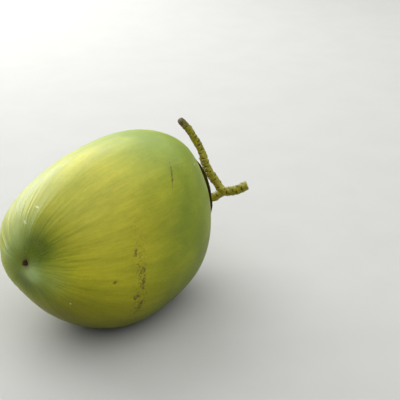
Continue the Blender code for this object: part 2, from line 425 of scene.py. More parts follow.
@dataclass
class Fruit:
    """The coconut itself: a smooth, three-sided husk with a stigma in the dimple at its tip.

    Lengths without a unit are shares of the widest section's radius, which comes from the frame.
    tip_length and stalk_length are the two halves' lengths, and their fullness is the powers p and q of
    x^p + r^q = 1. tip_offset is how far the tip stands aside and up from the axis. extra_height makes
    the section taller than it is wide, ridge_share raises its three ridges, the first at ridge_angle,
    and underside gives a fuller side's share, its middle and how narrow it is.
    """

    tip_length: float = 1.42
    stalk_length: float = 1.30
    tip_offset: tuple[float, float] = (0.0725, 0.1575)
    tip_fullness: tuple[float, float] = (2.4, 1.9)
    stalk_fullness: tuple[float, float] = (2.65, 2.25)
    extra_height: float = 0.038
    ridge_share: float = 0.057
    ridge_angle: float = math.radians(111.4)
    underside: tuple[float, float, float] = (0.050, math.radians(288), 8.0)
    knobs: tuple[Knob, ...] = (
        Knob(0.040, 227, 9.5 * MM, 2.6 * MM),
        Knob(0.110, 205, 16.0 * MM, 0.9 * MM),
        Knob(0.084, 60, 10.0 * MM, 1.4 * MM),
        Knob(0.140, 84, 16.0 * MM, 1.4 * MM),
        Knob(0.082, 12, 9.0 * MM, 1.6 * MM),
        Knob(0.140, 330, 16.0 * MM, 1.3 * MM),
        Knob(0.038, 10, 7.0 * MM, -1.0 * MM),
        Knob(0.058, 122, 10.5 * MM, -2.4 * MM),
        Knob(0.105, 128, 16.0 * MM, -1.0 * MM),
        Knob(0.082, 300, 9.5 * MM, -1.6 * MM),
        Knob(0.100, 262, 13.0 * MM, -1.0 * MM),
    )
    dimple_depth: float = 2.0 * MM
    dimple_radius: float = 4.8 * MM
    flute_depth: float = 0.22 * MM
    swell_depth: float = 0.45 * MM
    fibre_length: float = 3.1
    rows: int = 215
    columns: int = 450

    def __post_init__(self) -> None:
        """Takes the radius and the axis from the husk's box in the frame."""
        low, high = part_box("husk")
        self.radius = high[0] / self.stalk_length
        self.axis = np.zeros(2)
        along, around = np.meshgrid(np.linspace(0.3, 0.7, 161), np.linspace(0, math.tau, 721))
        reach = self.smooth(along, around)
        self.axis = np.array([high[1] - reach[..., 1].max(), high[2] - reach[..., 2].max()])

    def section(self, around: Array) -> Array:
        """The widest section's radius: a circle with two, then three, soft lobes and a fuller underside.

        Args:
            around: angle about X, in radians.

        Returns:
            The radius at each angle.
        """
        share, middle, sharpness = self.underside
        lobes = 1.0 - self.extra_height * np.cos(2.0 * around)
        lobes = lobes + self.ridge_share * np.cos(3.0 * (around - self.ridge_angle))
        return self.radius * (lobes + share * bump(around, middle, sharpness))

    def smooth(self, along: Array, around: Array) -> Array:
        """Points of the plain form: each half is x^p + r^q = 1, and the tip's half bends up and aside.

        Args:
            along: share of the length, 0 at the tip and 1 at the stalk.
            around: angle about X, in radians.

        Returns:
            Points, with their coordinates on the last axis.
        """
        position = -np.cos(math.pi * along)
        at_tip = position < 0
        reach = np.abs(position)
        power = np.where(at_tip, self.tip_fullness[0], self.stalk_fullness[0])
        root = np.where(at_tip, self.tip_fullness[1], self.stalk_fullness[1])
        radius = self.section(around) * np.maximum(1.0 - reach**power, 0.0) ** (1.0 / root)
        length = np.where(at_tip, self.tip_length, self.stalk_length) * self.radius
        bend = np.where(at_tip, reach**2, 0.0) * self.radius
        y = self.axis[0] + radius * np.cos(around) + self.tip_offset[0] * bend
        z = self.axis[1] + radius * np.sin(around) + self.tip_offset[1] * bend
        return np.stack(np.broadcast_arrays(position * length, y, z), axis=-1)

    def outward(self, along: Array, around: Array) -> Array:
        """Unit normals of the plain form, from its slopes along and around it.

        Args:
            along: share of the length, 0 at the tip and 1 at the stalk.
            around: angle about X, in radians.

        Returns:
            Vectors of length 1, with their coordinates on the last axis.
        """
        step = 0.004
        inside = np.clip(along, 2 * step, 1 - 2 * step)
        lengthways = self.smooth(inside + step, around) - self.smooth(inside - step, around)
        sideways = self.smooth(inside, around + step) - self.smooth(inside, around - step)
        return unit(np.cross(sideways, lengthways))

    def knob_heights(self, along: Array, around: Array, wider: float = 1.0) -> list[Array]:
        """Each knob's height over the skin: its own height times exp(-(distance / spread)^2).

        Args:
            along: share of the length, 0 at the tip and 1 at the stalk.
            around: angle about X, in radians.
            wider: what to multiply every spread by.

        Returns:
            For each knob, its height at each point, which is below 0 for a hollow.
        """
        points = self.smooth(along, around)
        heights = []
        for knob in self.knobs:
            middle = self.smooth(np.array(knob.along), np.array(math.radians(knob.around)))
            distance = np.linalg.norm(points - middle, axis=-1)
            heights.append(knob.height * hill(distance, 0.0, knob.spread * wider))
        return heights

    def from_tip(self, along: Array, around: Array) -> Array:
        """How far each point of the plain form is from the tip."""
        return np.linalg.norm(self.smooth(along, around) - self.tip_place(), axis=-1)

    def relief(self, along: Array, around: Array) -> Array:
        """How far the skin stands out: the tip's knobs, its dimple, lengthways flutes and slow swells.

        The flutes are fine waves round the fruit that keep their number as it narrows, and fade away
        from the tip.

        Args:
            along: share of the length, 0 at the tip and 1 at the stalk.
            around: angle about X, in radians.

        Returns:
            Metres out of the plain form at each point.
        """
        distance = self.from_tip(along, around)
        knobs = sum(self.knob_heights(along, around))
        dimple = self.dimple_depth * hill(distance, 0.0, self.dimple_radius)
        fade = hill(along, 0.13, 0.11) + 0.18 * step_between(along, 0.02, 0.2)
        fine = Ripple(7, (30, 100), 5.0, 70).height(along, around)
        broad = Ripple(11, (9, 24), 3.0).height(along, around)
        flutes = self.flute_depth * fade * (0.3 * fine + 0.6 * broad) * step_between(distance, 0.0, 14 * MM)
        swells = self.swell_depth * Ripple(5, (2, 7), 6.0).height(along, around)
        swells = swells * step_between(along, 0.0, 0.2) * step_between(1 - along, 0.0, 0.2)
        return knobs - dimple + flutes + swells

    def tip_place(self) -> Array:
        """The plain form's end point at the tip."""
        return self.smooth(np.array(0.0), np.array(0.0))

    def skin(self, along: Array, around: Array) -> Array:
        """Points of the skin: the plain form with its relief, and flat where the fruit rests.

        Args:
            along: share of the length, 0 at the tip and 1 at the stalk.
            around: angle about X, in radians.

        Returns:
            Points, with their coordinates on the last axis.
        """
        height = self.relief(along, around)[..., None]
        points = self.smooth(along, around) + self.outward(along, around) * height
        points[..., 2] = np.maximum(points[..., 2], 0.0)
        return points

    def skin_values(self, along: Array, around: Array) -> dict[str, Array]:
        """What the skin's finish reads at each point, as smooth masks from 0 to 1.

        fibre is the place of a fibre: round the fruit at its widest, and metres along it.
        ripe is where the green has turned yellow, from near the tip to a soft edge before the middle.
        bloom is the wax on the tip's knobs, and also a painted highlight, paler where they stand out.
        cleft is painted shade, dark green in the tip's hollows and beside the stigma.
        bleached is a painted sheen, paler along the upper side, and belly is painted shade, darker on the
        underside.
        wrinkled is the finely pleated skin round the tip, scar is close to the stigma, and rubbed is
        where the husk was scuffed by its neighbours.

        Args:
            along: share of the length, 0 at the tip and 1 at the stalk.
            around: angle about X, in radians.

        Returns:
            For each label, its value at each point.
        """
        length = along * self.fibre_length * self.radius
        fibre = np.stack([self.radius * np.cos(around), self.radius * np.sin(around), length], axis=-1)
        wander = Ripple(21, (1, 6), 4.0).height(along, around)
        edge = 0.425 + 0.06 * np.cos(around - math.radians(100)) + 0.014 * wander
        ripe = step_between(along, 0.035, 0.19) * (1.0 - step_between(along, edge - 0.13, edge + 0.12))
        sunny = 0.45 + 0.55 * bump(around, math.radians(165), 1.1)
        distance = self.from_tip(along, around)
        raised = sum(np.maximum(height, 0.0) for height in self.knob_heights(along, around, 0.85))
        wax_bloom_and_highlight = raised / (2.2 * MM) * hill(distance, 10 * MM, 28 * MM)
        sunk = -sum(np.minimum(height, 0.0) for height in self.knob_heights(along, around, 1.25))
        beside_stigma = hill(distance, 9 * MM, 6 * MM) * bump(around, math.radians(143.24), 2.0)
        rubbed = hill(along, 0.352, 0.018) * bump(around, math.radians(198), 5.0)
        rubbed = rubbed + 0.9 * hill(along, 0.60, 0.10) * bump(around, math.radians(345), 9.0)
        return {
            "fibre": fibre,
            "ripe": ripe * sunny,
            # Wax on the tip's knobs, and a painted highlight: paler where they stand out.
            "wax_bloom_and_highlight": np.clip(wax_bloom_and_highlight, 0.0, 1.0),
            # Painted shade: dark green in the tip's hollows and beside the stigma.
            "painted_hollow_shade": np.clip(sunk / (2.1 * MM) + 0.5 * beside_stigma, 0.0, 1.0),
            # Painted shade: darker on the underside.
            "painted_underside_shade": bump(around, math.radians(250), 2.9) * step_between(distance, 10 * MM, 60 * MM),
            # Painted sheen: paler along the upper side of the tip's half.
            "painted_top_sheen": bump(around, math.radians(112), 2.2) * hill(along, 0.26, 0.16),
            "wrinkled": hill(distance, 30 * MM, 20 * MM) * bump(around, math.radians(160), 1.2),
            "scar": hill(distance, 0.0, 5.0 * MM),
            "rubbed": np.clip(rubbed, 0.0, 1.0),
        }

    def mark_frame(self, mark: Mark) -> tuple[Vector, Euler, Vector]:
        """Where a mark lies: X across it, Y along it and Z out of the skin.

        Args:
            mark: the mark.

        Returns:
            Its place, its turn and its half sizes.
        """
        along, around = np.array(mark.along), np.array(math.radians(mark.around))
        out = Vector(self.outward(along, around))
        ahead = Vector(self.smooth(along + 0.004, around) - self.smooth(along - 0.004, around)).normalized()
        ahead = Quaternion(out, math.radians(mark.turn)) @ ahead
        turn = Matrix((ahead.cross(out), ahead, out)).transposed()
        place = Vector(self.smooth(along, around)) + out * float(self.relief(along, around))
        return place, turn.to_euler(), Vector((mark.half_width, mark.half_length, 4 * MM + mark.half_length))

    def pole(self, end: float) -> dict[str, Array]:
        """The point that closes the skin at one end of the axis.

        Args:
            end: 0 for the tip, or 1 for the stalk.

        Returns:
            Its place, under "place", and the mean of the values round it.
        """
        turns = np.linspace(0.0, math.tau, 8, endpoint=False)
        place = self.smooth(np.array(end), np.array(0.0))
        if end == 0.0:
            place = place - np.array([float(self.relief(np.array(0.0), np.array(0.0))), 0.0, 0.0])
        values = self.skin_values(np.full(8, end), turns)
        return {"place": place, **{label: value.mean(axis=0) for label, value in values.items()}}

    def build(self) -> bpy.types.Object:
        """Makes the husk as a fine grid round its axis, closed at both poles.

        Returns:
            The new piece.
        """
        shares = np.linspace(0.0, 1.0, self.rows + 2)[1:-1]
        turns = np.linspace(0.0, math.tau, self.columns, endpoint=False)
        along, around = np.meshgrid(shares, turns, indexing="ij")
        surface = Surface(self.skin(along, around), self.skin_values(along, around))
        mesh = tube_mesh("husk_skin", surface, self.pole(0.0), self.pole(1.0))
        return show("husk_skin", mesh, WaxyHusk(self).material(), "husk")


DARK_MARKS = (
    Mark(0.535, 133, 14 * MM, 1.25 * MM, 55, 0.6),
    Mark(0.273, 191, 2.6 * MM, 1.7 * MM, 30),
    Mark(0.338, 170, 4.4 * MM, 1.8 * MM, 80),
    Mark(0.356, 185, 3.8 * MM, 3.0 * MM, 20),
    Mark(0.358, 193, 7.0 * MM, 2.0 * MM, 84),
    Mark(0.338, 205, 4.2 * MM, 2.6 * MM, 20),
    Mark(0.356, 213, 9.0 * MM, 2.6 * MM, 88),
    Mark(0.62, 262, 9.0 * MM, 0.7 * MM, 25, 0.6),
    Mark(0.47, 30, 16 * MM, 0.6 * MM, 12, 0.6),
    Mark(0.58, 338, 7.0 * MM, 3.2 * MM, 40),
    Mark(0.30, 352, 3.0 * MM, 2.2 * MM, 0),
    Mark(0.74, 60, 5.0 * MM, 2.6 * MM, 65),
)
# The first two are painted glints along a ridge near the tip, and the last two are pale spots on the skin.
PALE_SPOTS_AND_GLINTS = (
    Mark(0.131, 82, 2.4 * MM, 1.2 * MM, 60, 0.8),
    Mark(0.179, 91, 2.8 * MM, 1.0 * MM, 80, 0.8),
    Mark(0.684, 134, 1.6 * MM, 1.1 * MM, 20),
    Mark(0.168, 226.5, 0.9 * MM, 0.8 * MM),
)


@dataclass(frozen=True)
class WaxyHusk:
    """A living green husk: a tight, fibrous rind under a thin film of wax, with no hairs.

    Growth gives it lengthways streaks of yellow and green, rubbing gives it brown corky marks, and
    the wax gives it a broad, soft sheen. A pair of colours is the darker and the paler of its kind.
    """

    fruit: Fruit
    green: tuple[str, str] = ("778a0c", "8b9c18")
    yellow: tuple[str, str] = ("aba60e", "bfb91c")
    cork: tuple[str, str] = ("45361a", "6d5c34")
    # Painted sheen: a pale tint for the upper side.
    painted_sheen_tint: str = "d6d8a2"
    mottled: str = "5f6a0a"
    # Painted shade for the underside.
    shaded: str = "4f4c0a"
    # Greener streaks for the pleats' creases, partly the skin's own colour and partly painted crease shade.
    crease_green_and_shade: str = "566c0c"
    # Painted shade: dark green for the tip's hollows.
    sunk: str = "3c5206"
    # Pale wax colour, also a painted highlight on the tip's knobs.
    wax_and_highlight_tint: str = "9fb476"
    fibre_line: str = "4b520a"
    fleck: str = "d8d66a"
    pore: str = "d6cf8a"
    # Pale spots, and painted glints on a ridge near the tip.
    pale_spot_and_glint: str = "dfe3c4"
    pore_spacing: float = 7 * MM
    pleats: Grain = Grain(5.5 * MM, 3.0, 0.55, (1, 1, 0.30), 0.3)
    streaks: Grain = Grain(1.5 * MM, 3.0, 0.6, (1, 1, 0.14))
    bands: Grain = Grain(11 * MM, stretch=(1, 1, 0.25))
    clouds: Grain = Grain(38 * MM)
    mottles: Grain = Grain(5 * MM, 3.0, 0.6)
    grains: Grain = Grain(1.1 * MM, 2.0, 0.6)
    crumbs: Grain = Grain(2.2 * MM, 3.0, 0.7)

    def living_skin(self, paint: Paint, value: dict[str, Socket], grain: dict[str, Socket]) -> Socket:
        """The unmarked skin's colour, painted light and shade included, from ripening to the fibres' lines.

        Args:
            paint: the material's paint.
            value: the mesh's own masks.
            grain: the grains already laid out.

        Returns:
            The colour.
        """
        low = paint.add("MapRange", (grain["clouds"], 0.3, 0.7, -0.12, 0.12), **paint.SMOOTH)
        high = paint.add("MapRange", (grain["bands"], 0.2, 0.8, -0.14, 0.14), **paint.SMOOTH)
        patches = paint.add("Math", (low, high), operation="ADD")
        patches = paint.add("Math", (patches, 0.7), operation="MULTIPLY")
        ripeness = paint.add("Math", (value["ripe"], patches), operation="ADD")
        green = paint.coat(*self.green, grain["clouds"], 0.3, 0.7)
        yellow = paint.coat(*self.yellow, grain["bands"], 0.3, 0.7)
        colour = paint.add("Mix", {0: ripeness, 6: green, 7: yellow}, 2, data_type="RGBA")
        # Painted sheen: a pale tint laid along the upper side.
        colour = paint.shade(colour, self.painted_sheen_tint, value["painted_top_sheen"], 0.15)
        colour = paint.coat(colour, self.mottled, paint.grow(self.mottles, paint.place), 0.3, 0.7, 0.10, 0.0)
        # Painted shade: the underside is darkened.
        colour = paint.shade(colour, self.shaded, value["painted_underside_shade"], 0.78)
        # Darker green in the pleats' creases: partly the skin's own green streaks, partly painted crease
        # shade.
        crease_streaks_and_shade = paint.add("MapRange", (grain["pleats"], 0.36, 0.60, 1.0, 0.0), **paint.SMOOTH)
        crease_streaks_and_shade = paint.add("Math", (value["wrinkled"], crease_streaks_and_shade), operation="MULTIPLY")
        colour = paint.shade(colour, self.crease_green_and_shade, crease_streaks_and_shade, 0.38)
        # Painted shade: dark green in the tip's hollows.
        colour = paint.shade(colour, self.sunk, value["painted_hollow_shade"], 0.78)
        # Pale wax on the tip's knobs, which is also a painted highlight.
        colour = paint.shade(colour, self.wax_and_highlight_tint, value["wax_bloom_and_highlight"], 0.8)
        colour = paint.coat(colour, self.fibre_line, grain["streaks"], 0.35, 0.65, 0.12, 0.0)
        return paint.coat(colour, self.fleck, grain["grains"], 0.35, 0.65, 0.06, 0.0)

    def pores(self, paint: Paint, clouds: Socket) -> Socket:
        """The breathing pores: pale pinpricks that thin out in patches.

        Args:
            paint: the material's paint.
            clouds: the grain that thins them out.

        Returns:
            Their mask.
        """
        inputs = {"Vector": paint.place, "Scale": 1 / self.pore_spacing}
        distance = paint.add("TexVoronoi", inputs, "Distance", feature="F1")
        pore = paint.add("MapRange", (distance, 0.035, 0.075, 1.0, 0.0), **paint.SMOOTH)
        patch = paint.add("MapRange", (clouds, 0.42, 0.55, 0.0, 1.0), **paint.SMOOTH)
        return paint.add("Math", (pore, patch), operation="MULTIPLY")

    def corked(self, paint: Paint, value: dict[str, Socket]) -> Socket:
        """The corky brown marks where the husk was rubbed, and a halo of the same round the stigma.

        Args:
            paint: the material's paint.
            value: the mesh's own masks.

        Returns:
            Their mask.
        """
        crumbs = paint.grow(self.crumbs, paint.place)
        worn = paint.add("MapRange", (crumbs, 0.38, 0.52, 0.25, 1.0), **paint.SMOOTH)
        brown = paint.add("Math", (paint.spots(DARK_MARKS, self.fruit), worn), operation="MULTIPLY")
        for label, low, high, start in (("rubbed", 0.52, 0.60, 0.0), ("scar", 0.3, 0.6, 0.6)):
            patchy = paint.add("MapRange", (crumbs, low, high, start, 1.0), **paint.SMOOTH)
            patchy = paint.add("Math", (value[label], patchy), operation="MULTIPLY")
            brown = paint.add("Math", (brown, patchy), operation="MAXIMUM")
        return brown

    def material(self) -> bpy.types.Material:
        """The husk's material.

        Returns:
            The new material.
        """
        paint = Paint("waxy_green_husk", {"Roughness": 0.42, "IOR": 1.45, "Specular IOR Level": 0.15})
        labels = ("ripe", "painted_top_sheen", "painted_underside_shade", "wrinkled", "painted_hollow_shade", "wax_bloom_and_highlight", "rubbed", "scar")
        value = {label: paint.add("Attribute", (), "Fac", attribute_name=label) for label in labels}
        fibre = paint.add("Attribute", (), "Vector", attribute_name="fibre")
        grain = {
            "pleats": paint.grow(self.pleats, fibre),
            "streaks": paint.grow(self.streaks, fibre),
            "bands": paint.grow(self.bands, fibre),
            "clouds": paint.grow(self.clouds, paint.place),
            "grains": paint.grow(self.grains, paint.place),
        }
        brown = self.corked(paint, value)
        colour = self.living_skin(paint, value, grain)
        colour = paint.shade(colour, self.pore, self.pores(paint, grain["clouds"]), 0.55)
        colour = paint.shade(colour, paint.coat(*self.cork, grain["grains"], 0.3, 0.7), brown, 0.85)
        # Pale spots on the skin, and painted glints on a ridge near the tip.
        colour = paint.shade(colour, self.pale_spot_and_glint, paint.spots(PALE_SPOTS_AND_GLINTS, self.fruit), 0.6)

        # Wax is shiniest between the fibres, and duller where it's thick or rubbed down to cork.
        rough = paint.add("MapRange", (grain["streaks"], 0.2, 0.8, 0.38, 0.48), **paint.SMOOTH)
        for mask, duller in ((value["wax_bloom_and_highlight"], 0.12), (brown, 0.25)):
            duller = paint.add("Math", (mask, duller), operation="MULTIPLY")
            rough = paint.add("Math", (rough, duller), operation="ADD")
        pleats = paint.add("Math", (grain["pleats"], value["wrinkled"]), operation="MULTIPLY")
        layers = (pleats, 0.55 * MM), (grain["streaks"], 0.05 * MM), (grain["grains"], 0.015 * MM)
        normal = paint.relief((*layers, (brown, 0.06 * MM)))
        return paint.finish({"Base Color": colour, "Roughness": rough, "Normal": normal})


# -------------------------------------------------------------------------------------- the calyx


class Whorl(Enum):
    """The calyx's two whorls. Each value is the name that its nodes and its slot start with."""

    INNER = "inner_tepal"
    OUTER = "outer_tepal"


@dataclass(frozen=True)
class TepalShape:
    """One whorl's tepals: where the first one is, in degrees, and their sizes in metres."""

    whorl: Whorl
    first_angle: float
    reach: float
    half_angle: float
    thickness: float
    height: float
    curl: float
    ragged: float


@dataclass
class Calyx:
    """The fruit's calyx: two whorls of three leathery scales, each overlapping the next like a tile.

    The scales start at inner_radius from the axis and are at least as long as the neck. Each leans, so
    that one side lies over its neighbour, and thins to its edge.
    """

    fruit: Fruit
    shapes: tuple[TepalShape, ...] = (
        TepalShape(Whorl.INNER, 30, 52 * MM, 71, 2.2 * MM, 0.9 * MM, 0.5 * MM, 0.9 * MM),
        TepalShape(Whorl.OUTER, 92, 36 * MM, 56, 2.6 * MM, 6.2 * MM, 1.8 * MM, 1.1 * MM),
    )
    inner_radius: float = 11.2 * MM
    neck: float = 6.0 * MM
    lean: float = 3.0 * MM
    edge: float = 0.8 * MM
    rib_height: float = 0.10 * MM
    rows: int = 170
    columns: int = 120

    def above_skin(self, distance: Array, around: Array, height: Array) -> Array:
        """Points a height above the stalk end of the plain form.

        Args:
            distance: how far each point is from the fruit's axis.
            around: angle about X, in radians.
            height: how far each point stands out from the form, along its normal.

        Returns:
            Points, with their coordinates on the last axis.
        """
        power, root = self.fruit.stalk_fullness

        def on_skin(reach: Array, angle: Array) -> Array:
            """The form's own points, from x^p + r^q = 1.

            Args:
                reach: how far each point is from the fruit's axis.
                angle: angle about X, in radians.

            Returns:
                Points, with their coordinates on the last axis.
            """
            share = np.clip(reach / self.fruit.section(angle), 0.0, 1.0)
            x = self.fruit.stalk_length * self.fruit.radius * (1.0 - share**root) ** (1.0 / power)
            y = self.fruit.axis[0] + reach * np.cos(angle)
            return np.stack([x, y, self.fruit.axis[1] + reach * np.sin(angle)], axis=-1)

        step = 0.5 * MM
        outwards = on_skin(distance + step, around) - on_skin(distance - step, around)
        sideways = on_skin(distance, around + 0.01) - on_skin(distance, around - 0.01)
        return on_skin(distance, around) + unit(np.cross(outwards, sideways)) * height[..., None]

    def build_tepal(
        self, shape: TepalShape, number: int, material: bpy.types.Material
    ) -> bpy.types.Object:
        """Makes one tepal from rings that run out along its upper face and back along its lower one.

        Its outline's reach at a share s of its half angle is (1 - |s|^2.6)^(1/1.8), made ragged by
        waves. Its thickness thins by the square of the larger of s and the share of the way out, and
        its rim curls up, in waves, by a smooth step over the last part of its reach.

        Args:
            shape: its whorl's shape.
            number: which of the whorl's three tepals it is, from 0.
            material: its finish.

        Returns:
            The new piece.
        """
        seed = 100 * (1 + shape.first_angle) + number
        middle = math.radians(shape.first_angle + 120 * number)
        sides = -np.cos(np.linspace(0.02, math.pi - 0.02, self.rows))
        turns = np.linspace(0.0, math.tau, self.columns, endpoint=False)
        side, turn = np.meshgrid(sides, turns, indexing="ij")
        share = 0.5 - 0.5 * np.cos(turn)
        plain = (1.0 - np.abs(side) ** 2.6) ** (1.0 / 1.8)
        torn = Ripple(int(seed) + 1, (3, 30), 0.0, 30).height(np.zeros_like(side), side * 1.6)
        neck = self.inner_radius + self.neck
        outline = neck + (shape.reach - neck) * plain + shape.ragged * (torn * 0.45 - 0.6) * plain**0.5
        distance = self.inner_radius + (outline - self.inner_radius) * share

        thin = np.maximum(np.abs(side), share) ** 2
        thick = shape.thickness + (self.edge - shape.thickness) * thin
        waves = Ripple(int(seed) + 2, (2, 9), 1.5, 24).height(share, side * 1.6)
        free = step_between(distance, 0.72 * shape.reach, shape.reach)
        rise = shape.curl * free * (0.45 + 0.4 * waves) * (1.0 - side**2)
        height = shape.height + self.lean * (side + 1.0) / 2.0 + np.maximum(rise, 0.0)
        round_face = np.sign(np.sin(turn)) * np.abs(np.sin(turn)) ** 0.4
        upper = step_between(np.sin(turn), 0.0, 0.5)
        ribs = Ripple(int(seed) + 3, (30, 90), 1.0, 50).height(share, side * 1.6)
        ribs = self.rib_height * ribs * upper * (1.0 - 0.5 * share)
        height = height + 0.5 * thick * (1.0 + round_face) + ribs

        values = {
            "rib": np.stack([side * shape.reach * 1.2, distance, np.full_like(side, seed * 0.01)], axis=-1),
            "rim": np.maximum(share, 0.9 * np.abs(side)),
            "upper": upper,
        }
        around = middle + side * math.radians(shape.half_angle)
        surface = Surface(self.above_skin(distance, around, height), values)
        node = f"{shape.whorl.value}_{number + 1}"
        mesh = tube_mesh(node + "_leaf", surface, surface.cap(0), surface.cap(-1))
        return show(node + "_leaf", mesh, material, node)

    def build(self) -> None:
        """Makes all six tepals, three to a whorl, with one finish for each whorl."""
        for shape in self.shapes:
            material = LEATHER[shape.whorl].material("leathery_" + shape.whorl.value)
            for number in range(3):
                self.build_tepal(shape, number, material)


@dataclass(frozen=True)
class LeatheryTepal:
    """A thick calyx leaf: pale green and waxy at its base, ribbed lengthways, dry and brown at its rim.

    A pair of colours is the darker and the paler of its kind. dry_from gives the shares of the way out
    to the rim between which it has dried.
    """

    base: tuple[str, str]
    vein: str
    dry_from: tuple[float, float]
    straw: tuple[str, str] = ("65502a", "a08b50")
    crisp: str = "3a2a14"
    freckle: str = "4a3318"
    underside: str = "8d7a48"
    veins: Grain = Grain(1.1 * MM, 3.0, 0.6, (1, 0.08, 1))
    blotches: Grain = Grain(9 * MM, 4.0, 0.6)
    flecks: Grain = Grain(1.6 * MM, 3.0, 0.7)

    def material(self, name: str) -> bpy.types.Material:
        """The tepals' material.

        Args:
            name: the material's name.

        Returns:
            The new material.
        """
        paint = Paint(name, {"Roughness": 0.55, "IOR": 1.45, "Specular IOR Level": 0.3})
        rib = paint.add("Attribute", (), "Vector", attribute_name="rib")
        rim, upper = (paint.add("Attribute", (), "Fac", attribute_name=label) for label in ("rim", "upper"))
        vein, blotch, fleck = (paint.grow(grain, rib) for grain in (self.veins, self.blotches, self.flecks))
        ragged = paint.add("MapRange", (blotch, 0.25, 0.75, -0.22, 0.22), **paint.SMOOTH)
        rim = paint.add("Math", (rim, ragged), operation="ADD")
        dry = paint.add("MapRange", (rim, *self.dry_from, 0.0, 1.0), **paint.SMOOTH)

        colour = paint.coat(paint.coat(*self.base, blotch, 0.3, 0.7), self.vein, vein, 0.3, 0.7, 0.45, 0.0)
        straw = paint.coat(*self.straw, vein, 0.3, 0.7)
        colour = paint.add("Mix", {0: dry, 6: colour, 7: straw}, 2, data_type="RGBA")
        crisp = paint.add("MapRange", (rim, 0.98, 1.12, 0.0, 1.0), **paint.SMOOTH)
        colour = paint.shade(colour, self.crisp, crisp, 0.8)
        freckles = paint.add("MapRange", (fleck, 0.60, 0.68, 0.0, 1.0), **paint.SMOOTH)
        patches = paint.add("MapRange", (blotch, 0.35, 0.6, 0.2, 1.0), **paint.SMOOTH)
        freckles = paint.add("Math", (freckles, patches), operation="MULTIPLY")
        colour = paint.shade(colour, self.freckle, freckles, 0.7)
        colour = paint.coat(colour, self.underside, upper, 0.0, 1.0, 0.35, 0.0)

        rough = paint.add("MapRange", (vein, 0.2, 0.8, 0.44, 0.54), **paint.SMOOTH)
        duller = paint.add("Math", (dry, 0.26), operation="MULTIPLY")
        rough = paint.add("Math", (rough, duller), operation="ADD")
        normal = paint.relief(((vein, 0.14 * MM), (fleck, 0.05 * MM)))
        return paint.finish({"Base Color": colour, "Roughness": rough, "Normal": normal})


# The outer whorl is the older one: it's duller, and more of it has dried.
LEATHER = {
    Whorl.INNER: LeatheryTepal(("a8ac4c", "c0be6c"), "6f7426", (0.66, 0.98)),
    Whorl.OUTER: LeatheryTepal(("9a9444", "aba05a"), "6e6028", (0.42, 0.85)),
}


# ------------------------------------------------------------------------------------- the branch


